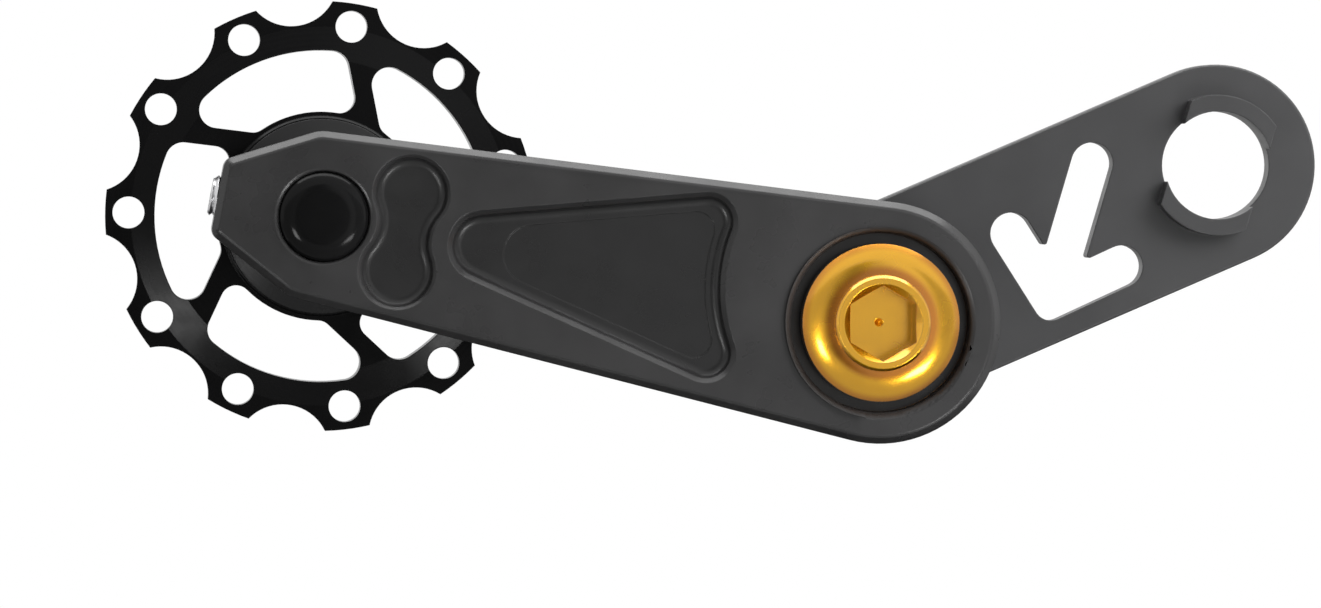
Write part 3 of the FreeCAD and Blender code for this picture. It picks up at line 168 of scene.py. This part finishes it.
def tool_marks(surface, marks, groove, centre, turn):
    """Height of the marks: turned rings about the centre, or milled strokes along X."""
    if marks == "turned":
        rings = surface.add("ShaderNodeTexWave", {
            "Vector": surface.place(centre=centre), "Scale": WAVE_PERIOD / (2 * groove),
            "Distortion": 0.6, "Detail": 1.0, "Detail Scale": 0.6},
            wave_type="RINGS", rings_direction="Y", wave_profile="SIN")
        return rings.outputs["Fac"]
    along = surface.place(STROKE_STRETCH, turn, centre)
    return surface.noise(along, scale=3.0, detail=3.0, roughness=0.6)


def metal_surface(name, colour, rough, metallic=0.0, specular=0.5, coat=0.0, uneven=0.12,
                  edge=0.12 * MM, grain=0.25, worn=None, wear=0.0, shadow=None,
                  shadow_colour=None, marks=None, mark_depth=0.0012 * MM, groove=0.3 * MM,
                  centre=(0, 0, 0), turn=0.0):
    """Turned, milled or plain metal, with the tool's marks, a fine grain and soft edges.

    uneven is how far the colour drifts, and edge is the radius that edges are shaded with.
    worn is the colour that shows where an edge has rubbed, and wear is how much of it.
    shadow is a function that gives 1 where painted shade goes, in shadow_colour, which is a dark
    shade of its own colour unless one is given. coat is how much clear layer is on top.
    marks are "turned", with rings a groove wide about the centre, or "milled". There, turn
    turns the noise that the strokes come from, and they stay along X.
    """
    surface = Surface(name)
    place = surface.place()
    soft = surface.add("ShaderNodeBevel", {"Radius": edge}, samples=6).outputs[0]
    cloud = surface.noise(place, scale=90.0, detail=3.0, roughness=0.55)
    speckle = surface.noise(place, scale=2600.0, detail=2.0, roughness=0.6)
    smears = surface.noise(place, scale=240.0, detail=3.0, roughness=0.6)

    base = surface.mix(surface.spread(cloud, (0.3, 0.7)),
                       shade(colour, 1 - uneven), shade(colour, 1 + uneven))
    lighter = surface.spread(speckle, (0.62, 0.78), (0.0, 0.10))
    base = surface.mix(lighter, base, shade(colour, 1.5))
    if worn:
        base = surface.mix(rubbed_edges(surface, place, soft, wear), base, rgb(worn))
    # Painted shade: a darker colour mixed in where the shadow function gives 1.
    if shadow:
        dark = rgb(shadow_colour) if shadow_colour else shade(colour, 0.3)
        base = surface.mix(shadow(surface), base, dark)
    surface.set("Base Color", base)
    surface.set("Roughness", surface.spread(smears, (0.25, 0.75), (rough - 0.05, rough + 0.06)))
    surface.set("Metallic", metallic)
    surface.set("Specular IOR Level", specular)
    surface.set("Coat Weight", coat)
    surface.set("Coat Roughness", COAT_ROUGHNESS)

    normal = soft
    if marks:
        normal = surface.bump(tool_marks(surface, marks, groove, centre, turn), mark_depth, normal)
    surface.set("Normal", surface.bump(speckle, GRAIN_DEPTH, normal, grain))
    return surface


# The arm's half height at the pivot, and how much is lost per metre towards the pulley.
ARM_HALF_HEIGHT = 11.07 * MM
ARM_TAPER = math.tan(math.radians(3.7))

# The painted shade on a floor begins over these depths below the arm's front, and over these
# margins from its sides.
FLOOR_DEPTHS = (0.5 * MM, 0.95 * MM)
FLOOR_MARGINS = (0.3 * MM, 0.9 * MM)


def shaded_pocket_floors(surface):
    """Painted shade: 1 on the floors of the arm's pockets, 0 on its face, its sides and the
    pockets' walls.
    """
    along = surface.parts(surface.place(turn=-ARM_SLOPE, centre=PIVOT))
    sunk = surface.spread(along["Y"], [ARM_FRONT + depth for depth in FLOOR_DEPTHS])
    taper = surface.calculate("MULTIPLY", along["X"], ARM_TAPER)
    side = surface.calculate("ADD", taper, ARM_HALF_HEIGHT)
    room = surface.calculate("SUBTRACT", side, surface.calculate("ABSOLUTE", along["Z"]))
    return surface.calculate("MULTIPLY", sunk, surface.spread(room, FLOOR_MARGINS))


# Radii of the bolt's head over which the painted shade of its hollow starts and ends, and that of
# its rim starts.
HOLLOW_STARTS = (4.15 * MM, 4.45 * MM)
HOLLOW_ENDS = (4.75 * MM, 5.5 * MM)
RIM_STARTS = (6.4 * MM, 7.1 * MM)


def shaded_hollow_and_rim(surface):
    """Painted shade: 1 in the hollow round the bolt's raised middle and 0.8 at the rim."""
    along = surface.parts(surface.place(centre=PIVOT))
    flat = surface.add("ShaderNodeCombineXYZ", {"X": along["X"], "Z": along["Z"]}).outputs[0]
    radius = surface.add("ShaderNodeVectorMath", {0: flat}, operation="LENGTH").outputs["Value"]
    hollow = surface.calculate("MULTIPLY", surface.spread(radius, HOLLOW_STARTS),
                               surface.spread(radius, HOLLOW_ENDS, (1.0, 0.0)))
    rim = surface.spread(radius, RIM_STARTS, (0.0, 0.8))
    return surface.calculate("MAXIMUM", hollow, rim)


PLATE_SLOPE = math.radians(23.2)
BLACK_EDGE = (0.30, 0.30, 0.30)
plate_metal = metal_surface(
    "black_anodised_plate", (0.032, 0.032, 0.033), rough=0.40, edge=0.2 * MM, grain=0.5,
    worn=BLACK_EDGE, wear=0.16, marks="milled", mark_depth=0.0015 * MM, turn=PLATE_SLOPE)
# The arm's pocket floors get painted shade, a dark shade of the arm's colour.
arm_metal = metal_surface(
    "black_anodised_arm", (0.025, 0.0246, 0.025), rough=0.30, uneven=0.22, edge=0.16 * MM,
    grain=0.06, worn=BLACK_EDGE, wear=0.14, shadow=shaded_pocket_floors, marks="milled", centre=PIVOT,
    turn=-ARM_SLOPE)
pulley_metal = metal_surface(
    "black_anodised_pulley", (0.003, 0.003, 0.0032), rough=0.24, specular=0.12, grain=0.2,
    worn=BLACK_EDGE, wear=0.05, marks="turned", groove=0.25 * MM, centre=PULLEY)
turned_black = metal_surface(
    "black_anodised_turned", (0.006, 0.006, 0.0062), rough=0.14, specular=0.12, grain=0.05,
    worn=BLACK_EDGE, wear=0.02, marks="turned", mark_depth=0.0002 * MM, groove=0.18 * MM,
    centre=PULLEY)
cover_metal = metal_surface(
    "black_anodised_cover", (0.014, 0.014, 0.0142), rough=0.24, specular=0.25, grain=0.15,
    worn=BLACK_EDGE, wear=0.04, marks="turned", groove=0.2 * MM, centre=PULLEY)
# The bolt's hollow and rim get painted shade in a brown shadow_colour.
gold_metal = metal_surface(
    "gold_anodised", (0.79, 0.40, 0.012), rough=0.24, metallic=1.0, coat=1.0, uneven=0.03,
    edge=0.14 * MM, grain=0.12, worn=(0.95, 0.70, 0.30), wear=0.2, shadow=shaded_hollow_and_rim,
    shadow_colour=(0.50, 0.17, 0.004), marks="turned", mark_depth=0.0005 * MM,
    groove=0.16 * MM, centre=PIVOT)
bright_steel = metal_surface(
    "bright_steel", (0.60, 0.60, 0.61), rough=0.26, metallic=1.0, uneven=0.08,
    edge=0.06 * MM, grain=0.3, worn=(0.8, 0.8, 0.8), wear=0.2)
dark_steel = metal_surface(
    "dark_steel", (0.10, 0.10, 0.105), rough=0.36, metallic=0.9, edge=0.08 * MM, grain=0.5,
    worn=(0.5, 0.5, 0.5), wear=0.3)
spring_steel = metal_surface(
    "spring_steel", (0.36, 0.36, 0.37), rough=0.30, metallic=1.0, edge=0.04 * MM, grain=0.4)
bearing_steel = metal_surface(
    "bearing_steel", (0.66, 0.66, 0.68), rough=0.14, metallic=1.0, uneven=0.04,
    edge=0.05 * MM, grain=0.08, marks="turned", mark_depth=0.0003 * MM, groove=0.1 * MM,
    centre=PULLEY)
pressed_steel = metal_surface(
    "pressed_steel", (0.44, 0.44, 0.46), rough=0.30, metallic=1.0, edge=0.05 * MM, grain=0.3,
    marks="turned", groove=0.2 * MM, centre=PULLEY)
bronze = metal_surface(
    "bearing_bronze", (0.50, 0.30, 0.12), rough=0.42, metallic=1.0, edge=0.08 * MM,
    grain=0.8, worn=(0.75, 0.50, 0.25), wear=0.3)
acetal = metal_surface(
    "black_acetal", (0.020, 0.020, 0.020), rough=0.45, edge=0.06 * MM, grain=0.25,
    marks="turned", groove=0.2 * MM, centre=PIVOT)


def finish_nodes(surface, *names):
    """Gives the surface to CAD nodes that stay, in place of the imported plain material."""
    for name in names:
        for slot in frame["nodes"][name].material_slots:
            slot.material = surface.material


finish_nodes(plate_metal, "hanger_plate")
finish_nodes(pulley_metal, "pulley_wheel")
finish_nodes(cover_metal, "front_dust_cover", "rear_dust_cover")
finish_nodes(gold_metal, "pivot_bolt")
finish_nodes(bright_steel, "stop_pin", "axle_end_washer")
finish_nodes(dark_steel, "pivot_lock_nut", "axle_end_screw")
finish_nodes(bearing_steel, "bearing_outer_ring", "bearing_inner_ring", "bearing_balls")
finish_nodes(pressed_steel, "bearing_front_shield", "bearing_rear_shield")
finish_nodes(bronze, "pivot_bush", "bearing_cage")
finish_nodes(acetal, "thrust_ring")


# Pieces with more detail than their solids.

def add_piece(name, mesh, surface):
    piece = bpy.data.objects.new(name, mesh)
    scene.collection.objects.link(piece)
    mesh.materials.append(surface.material)
    return piece


def around(count):
    """Angles of that many points, evenly round a circle."""
    return [2 * math.pi * step / count for step in range(count)]


RINGS_SHARP = math.radians(32.0)


def ring_mesh(name, rings):
    """Closed mesh through rings with as many points each. The first and last close to a point."""
    mesh = bpy.data.meshes.new(name)
    count = len(rings[0])
    points = [point for ring in rings for point in ring]
    faces = []
    for index in range(len(rings) - 1):
        for step in range(count):
            here = index * count + step
            beside = index * count + (step + 1) % count
            faces.append((here, beside, beside + count, here + count))
    for ring, order in ((0, -1), (len(rings) - 1, 1)):
        points.append(sum(rings[ring], Vector()) / count)
        for step in range(count):
            pair = (ring * count + step, ring * count + (step + 1) % count)
            faces.append((*pair[::order], len(points) - 1))
    mesh.from_pydata(points, [], faces)
    mesh.validate()
    mesh.shade_smooth()
    mesh.set_sharp_from_angle(angle=RINGS_SHARP)
    return mesh


# The slope between the arm's front face and a pocket's wall is the broken edge. It is this
# deep in the solid, and it grows more round the triangular pocket than round the other one.
EDGE_DEPTH = 0.12 * MM
EDGE_BOTTOM = ARM_FRONT + EDGE_DEPTH
BONE_GROWTH = 0.17 * MM
TRIANGLE_GROWTH = 0.32 * MM

# The triangular pocket is further than this from the pulley's axis, and the other is nearer.
BETWEEN_POCKETS = 11.7 * MM

# The slope's faces lie between its two levels, and their normals have a Y in this range.
LEVEL_TOLERANCE = 0.004 * MM
SLOPE_NORMALS = (-0.9, -0.5)


def growth(place):
    """How much the broken edge grows at a place of the arm."""
    along = (PULLEY - place).dot(ARM_OUT)
    return TRIANGLE_GROWTH if along > BETWEEN_POCKETS else BONE_GROWTH


def pocket_edges(mesh, keys):
    """The slopes' upper corners, each with its way outward, and all corners further inside."""
    outward = {}
    inside = set()
    beside = {}
    for face in mesh.polygons:
        corners = [keys[index] for index in face.vertices]
        levels = [mesh.vertices[index].co.y for index in face.vertices]
        between = (min(levels) > ARM_FRONT - LEVEL_TOLERANCE
                   and max(levels) < EDGE_BOTTOM + LEVEL_TOLERANCE)
        slopes = between and SLOPE_NORMALS[0] < face.normal.y < SLOPE_NORMALS[1]
        for corner, level in zip(corners, levels):
            beside.setdefault(corner, set()).update(corners)
            if slopes and level < (ARM_FRONT + EDGE_BOTTOM) / 2:
                aside = Vector((-face.normal.x, 0, -face.normal.z))
                outward[corner] = outward.get(corner, Vector()) + aside
            elif slopes:
                inside.add(corner)
    fresh = inside
    while fresh:
        fresh = {other for corner in fresh for other in beside[corner]} - inside - set(outward)
        inside = inside | fresh
    return outward, inside


def add_arm():
    """The arm, with wider broken edges round its two pockets.

    It is a copy of the CAD mesh. The slopes' upper corners move outward over the front face,
    and the pockets' walls begin lower. Vertices of the CAD mesh that share a place have one
    key and move together, and the shading keeps the CAD mesh's normals.
    """
    mesh = frame["nodes"]["arm"].data.copy()
    mesh.name = "milled_arm"
    normals = [corner.vector.copy() for corner in mesh.corner_normals]
    keys = [tuple(round(part / MM, 3) for part in vertex.co) for vertex in mesh.vertices]
    outward, inside = pocket_edges(mesh, keys)
    for key, vertex in zip(keys, mesh.vertices):
        if key in outward:
            vertex.co += outward[key].normalized() * growth(vertex.co)
        elif key in inside:
            vertex.co.y = max(vertex.co.y, EDGE_BOTTOM + growth(vertex.co))
    mesh.normals_split_custom_set(normals)
    mesh.materials.clear()
    arm = add_piece("milled_arm", mesh, arm_metal)
    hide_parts("arm")
    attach(arm, "swing_arm")


SET_SCREW_LEVEL = -7.5 * MM
AXLE_POINTS = 96
DOME_STEPS = 12


def add_axle():
    """Pulley axle, with a domed end that curves down from a flat middle to its rim.

    The set screw presses on a flat, which begins at the rim and ends past the screw.
    """
    top = -11.0 * MM
    skirt = 0.2 * MM
    screw_flat = 4.02 * MM
    screw_flat_end = SET_SCREW_LEVEL + 2.1 * MM
    shoulder = -4.2 * MM
    end = 5.0 * MM
    hole_depth = 9.0 * MM
    middle_radius = 2.25 * MM
    dome_radius = 2.3 * MM
    cap_radius = 4.0 * MM
    rod_radius = 4.1 * MM
    stub_radius = 2.98 * MM
    hole_radius = 2.05 * MM
    directions = [Vector((math.sin(angle), 0, math.cos(angle))) for angle in around(AXLE_POINTS)]
    axis = Vector((PULLEY.x, 0, PULLEY.z))

    def ring(radius, level, flat=None):
        """Circle at a level, cut off at the flat's distance from the axis where there is one."""
        points = []
        for direction in directions:
            reach = radius
            towards = direction.dot(ARM_OUT)
            if flat and towards > 0:
                reach = min(radius, flat / towards)
            points.append(axis + direction * reach + Vector((0, level, 0)))
        return points

    steepest = math.asin((cap_radius - middle_radius) / dome_radius)
    rings = [ring(middle_radius / 2, top)]
    for step in range(DOME_STEPS + 1):
        tilt = steepest * step / DOME_STEPS
        level = top + dome_radius * (1 - math.cos(tilt))
        rings.append(ring(middle_radius + dome_radius * math.sin(tilt), level))
    rim = level + skirt
    rings += [ring(cap_radius, rim),
              ring(rod_radius, rim, screw_flat), ring(rod_radius, screw_flat_end, screw_flat),
              ring(rod_radius, screw_flat_end), ring(rod_radius, shoulder),
              ring(stub_radius, shoulder), ring(stub_radius, end),
              ring(hole_radius, end), ring(hole_radius, end - hole_depth)]
    axle = add_piece("domed_axle", ring_mesh("domed_axle", rings), turned_black)
    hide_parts("pulley_axle")
    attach(axle, "axle")


SCREW_POINTS = 48
SCREW_STEPS = 90


def hexagon_reach(angle, across_flats):
    """Distance from the middle to a hexagon's side in one direction."""
    return across_flats / 2 / math.cos(angle % (math.pi / 3) - math.pi / 6)


def add_set_screw():
    """Threaded grub screw with a hex socket, along the arm from its end face to the axle."""
    radius = 1.95 * MM
    tip = 4.02 * MM
    tip_radius = 0.55 * radius
    end = 10.4 * MM
    chamfer = 0.35 * MM
    pitch = 0.7 * MM
    thread_depth = 0.36 * MM
    socket_width = 2.0 * MM
    socket_depth = 2.0 * MM
    mouth_radius = 1.34 * MM
    mouth_depth = 0.12 * MM
    middle = Vector((PULLEY.x, SET_SCREW_LEVEL, PULLEY.z))
    across = Vector((0, 1, 0))
    upward = ARM_OUT.cross(across)

    def ring(reach, size):
        """Ring at a reach from the axle's axis, whose radius is a function of the angle."""
        return [middle + ARM_OUT * reach
                + (across * math.cos(angle) + upward * math.sin(angle)) * size(angle)
                for angle in around(SCREW_POINTS)]

    def thread(reach):
        """The thread's radius by angle, cut down to the chamfers at the two ends."""
        limit = radius - max(0.0, tip + chamfer - reach, reach - end + chamfer)

        def size(angle):
            phase = (reach / pitch - angle / (2 * math.pi)) % 1.0
            return min(limit, radius - thread_depth * abs(2 * phase - 1))
        return size

    rings = [ring(tip, lambda angle: tip_radius)]
    for step in range(SCREW_STEPS + 1):
        reach = tip + (end - tip) * step / SCREW_STEPS
        rings.append(ring(reach, thread(reach)))
    rings.append(ring(end, lambda angle: mouth_radius))
    for depth in (mouth_depth, socket_depth):
        rings.append(ring(end - depth, lambda angle: hexagon_reach(angle, socket_width)))
    screw = add_piece("set_screw", ring_mesh("set_screw", rings), bright_steel)
    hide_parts("axle_set_screw")
    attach(screw, "swing_arm")


# Levels of the points of the spring's two legs, one in the arm and one in the plate.
ARM_LEG = (-7.65 * MM, -7.0 * MM, -6.3 * MM)
PLATE_LEG = (-0.5 * MM, 0.6 * MM, 2.0 * MM)
SPRING_SHARP = math.radians(50.0)


def add_spring():
    """Torsion spring between the arm and the plate. Its mesh is fixed and doesn't twist as the arm
    swings.
    """
    first = -5.7 * MM
    last = -1.1625 * MM
    radius = 6.05 * MM
    wire_radius = 0.75 * MM
    start = math.radians(150.0)
    turns = 2.75
    steps = round(24 * turns)
    coil = []
    for step in range(steps + 1):
        share = step / steps
        angle = start + turns * 2 * math.pi * share
        coil.append(Vector((PIVOT.x + radius * math.cos(angle), first + (last - first) * share,
                            PIVOT.z + radius * math.sin(angle))))
    arm_leg = [Vector((coil[0].x, level, coil[0].z)) for level in ARM_LEG]
    plate_leg = [Vector((coil[-1].x, level, coil[-1].z)) for level in PLATE_LEG]
    curve = bpy.data.curves.new("spring_line", "CURVE")
    curve.dimensions = "3D"
    curve.bevel_depth = wire_radius
    curve.bevel_resolution = 5
    curve.use_fill_caps = True
    spline = curve.splines.new("NURBS")
    points = arm_leg + coil + plate_leg
    spline.points.add(len(points) - 1)
    for point, place in zip(spline.points, points):
        point.co = (*place, 1.0)
    spline.order_u = 3
    spline.use_endpoint_u = True
    spline.resolution_u = 3
    line = bpy.data.objects.new("spring_line", curve)
    mesh = bpy.data.meshes.new_from_object(line)
    bpy.data.objects.remove(line)
    mesh.name = "spring"
    mesh.shade_smooth()
    mesh.set_sharp_from_angle(angle=SPRING_SHARP)
    mesh.materials.clear()
    spring = add_piece("spring", mesh, spring_steel)
    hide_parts("torsion_spring")
    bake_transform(spring)


add_arm()
add_axle()
add_set_screw()
add_spring()


# Camera at the photograph's place, from a fit to the axes and holes.

CAMERA_PLACE = Vector((-0.1028, -0.6394, 0.0006))
CAMERA_YAW = math.radians(4.57)
CAMERA_PITCH = math.radians(1.20)
CAMERA_ROLL = math.radians(0.04)
SENSOR_WIDTH = 36.0
FOCAL_PIXELS = 6950.0
FRAME_PIXELS = 1321.0


def add_camera():
    forward = Vector((math.sin(CAMERA_YAW) * math.cos(CAMERA_PITCH),
                      math.cos(CAMERA_YAW) * math.cos(CAMERA_PITCH), -math.sin(CAMERA_PITCH)))
    level = Vector((math.cos(CAMERA_YAW), -math.sin(CAMERA_YAW), 0))
    upright = level.cross(forward)
    right = level * math.cos(CAMERA_ROLL) + upright * math.sin(CAMERA_ROLL)
    up = upright * math.cos(CAMERA_ROLL) - level * math.sin(CAMERA_ROLL)
    data = bpy.data.cameras.new("camera")
    data.sensor_width = SENSOR_WIDTH
    data.lens = FOCAL_PIXELS / FRAME_PIXELS * SENSOR_WIDTH
    data.clip_start = 0.01
    camera = bpy.data.objects.new("camera", data)
    place = Matrix((right, up, -forward)).transposed().to_4x4()
    place.translation = CAMERA_PLACE
    camera.matrix_world = place
    scene.collection.objects.link(camera)
    scene.camera = camera


# Studio: pale floor, white surroundings, soft lamps, and cards that only reflections show.

WHITE = (1, 1, 1)
MIDDLE = Vector((-0.05, 0.0, -0.01))
WORLD_LEVEL = 0.12
FLOOR_LEVEL = -0.30
FLOOR_SIZE = 6.0
FLOOR_COLOUR = (0.78, 0.78, 0.78)
FLOOR_GLOW = 0.55
OVER_FLOOR = FLOOR_LEVEL + 0.002

# The front card's shares of its level, from left to right along its width.
FRONT_SHARES = ((-0.60, 0.9), (-0.15, 0.35), (-0.05, 0.35), (0.05, 1.25), (0.22, 1.6),
                (0.40, 1.6), (0.70, 0.8))


def aimed(place, aim):
    """Matrix of something at a place whose front, its -Z side, faces the aim."""
    place = Vector(place)
    turn = (Vector(aim) - place).to_track_quat("-Z", "Y")
    return Matrix.Translation(place) @ turn.to_matrix().to_4x4()


def add_panel(name, matrix, width, height, surface):
    """Flat rectangle that isn't part of the object."""
    half_w = width / 2
    half_h = height / 2
    mesh = bpy.data.meshes.new(name)
    mesh.from_pydata([(-half_w, -half_h, 0), (half_w, -half_h, 0),
                      (half_w, half_h, 0), (-half_w, half_h, 0)], [], [(0, 1, 2, 3)])
    mesh.materials.append(surface.material)
    panel = bpy.data.objects.new(name, mesh)
    panel.matrix_world = matrix
    scene.collection.objects.link(panel)
    return panel


def add_card(name, place, aim, width, height, level, across=None):
    """Card that only shows in reflections, as bright as its level.

    across lists places along the card's width, each with its share of that level.
    """
    surface = Surface(name)
    surface.set("Base Color", rgb((0, 0, 0)))
    surface.set("Roughness", 1.0)
    surface.set("Specular IOR Level", 0.0)
    surface.set("Emission Color", rgb(WHITE))
    surface.set("Emission Strength", level)
    if across:
        along = surface.parts(surface.place())["X"]
        share = across[0][1]
        for (start, one), (end, other) in zip(across, across[1:]):
            rise = surface.spread(along, (start, end), (0.0, other - one))
            share = surface.calculate("ADD", share, rise)
        surface.set("Emission Strength", surface.calculate("MULTIPLY", share, level))
    card = add_panel(name, aimed(place, aim), width, height, surface)
    card.visible_camera = False
    card.visible_diffuse = False
    card.visible_transmission = False
    card.visible_shadow = False


def add_lamp(name, place, aim, width, height, power, mirrored=True, diffuse=True):
    """Soft lamp. Reflections show it if mirrored, and it lights dull surfaces if diffuse."""
    data = bpy.data.lights.new(name, "AREA")
    data.shape = "RECTANGLE"
    data.size = width
    data.size_y = height
    data.energy = power
    lamp = bpy.data.objects.new(name, data)
    lamp.matrix_world = aimed(place, aim)
    lamp.visible_camera = False
    lamp.visible_glossy = mirrored
    lamp.visible_diffuse = diffuse
    scene.collection.objects.link(lamp)


def seen_directly(nodes):
    """1 for camera, glossy and transmission rays, 0 for the rest."""
    path = nodes.add("ShaderNodeLightPath").outputs
    direct = nodes.calculate("MAXIMUM", path["Is Camera Ray"], path["Is Glossy Ray"])
    return nodes.calculate("MAXIMUM", direct, path["Is Transmission Ray"])


def add_floor():
    """Pale floor. It glows only where it is seen, so its glow doesn't light the object."""
    surface = Surface("floor")
    surface.set("Base Color", rgb(FLOOR_COLOUR))
    surface.set("Roughness", 0.9)
    surface.set("Specular IOR Level", 0.1)
    surface.set("Emission Color", rgb(WHITE))
    glow = surface.calculate("MULTIPLY", seen_directly(surface), FLOOR_GLOW)
    surface.set("Emission Strength", glow)
    add_panel("floor", Matrix.Translation((0, 0, FLOOR_LEVEL)), FLOOR_SIZE, FLOOR_SIZE, surface)


def add_surroundings():
    """White where they are seen directly, and fainter where they light the object."""
    world = bpy.data.worlds.new("surroundings")
    nodes = Nodes(world)
    background = nodes.tree.nodes["Background"]
    level = nodes.spread(seen_directly(nodes), (0.0, 1.0), (WORLD_LEVEL, 1.0))
    nodes.put(background.inputs["Color"], rgb(WHITE))
    nodes.put(background.inputs["Strength"], level)
    scene.world = world


add_camera()
add_floor()
add_surroundings()

# The key and back lamps only light the object, and the two lower lamps only reflect in it.
add_lamp("lamp_top", (-0.05, 0.05, 0.55), MIDDLE, width=0.90, height=0.30, power=3.8)
add_lamp("lamp_key", (0.14, -0.13, 0.10), (0.02, 0, 0), width=0.16, height=0.16, power=1.0,
         mirrored=False)
add_lamp("lamp_lower_left", (-0.322, -0.38, -0.165), MIDDLE, width=0.10, height=0.10,
         power=0.38, diffuse=False)
add_lamp("lamp_lower_right", (0.17, -0.38, -0.215), MIDDLE, width=0.14, height=0.08,
         power=0.48, diffuse=False)
add_lamp("lamp_back", (-0.15, 0.45, 0.25), MIDDLE, width=0.40, height=0.30, power=2.6,
         mirrored=False)
add_card("card_front", (0.0, -0.98, 0.1), (0.0, 0, 0.1), width=6.0, height=1.2, level=0.65,
         across=FRONT_SHARES)
add_card("card_floor", (0.0, -0.51, OVER_FLOOR), (0.0, -0.51, 1), width=3.0, height=0.94,
         level=0.6)
add_card("card_below", (-0.05, 0.33, OVER_FLOOR), (-0.05, 0.33, 1), width=0.9, height=0.74,
         level=0.02)

scene.view_settings.view_transform = "Standard"
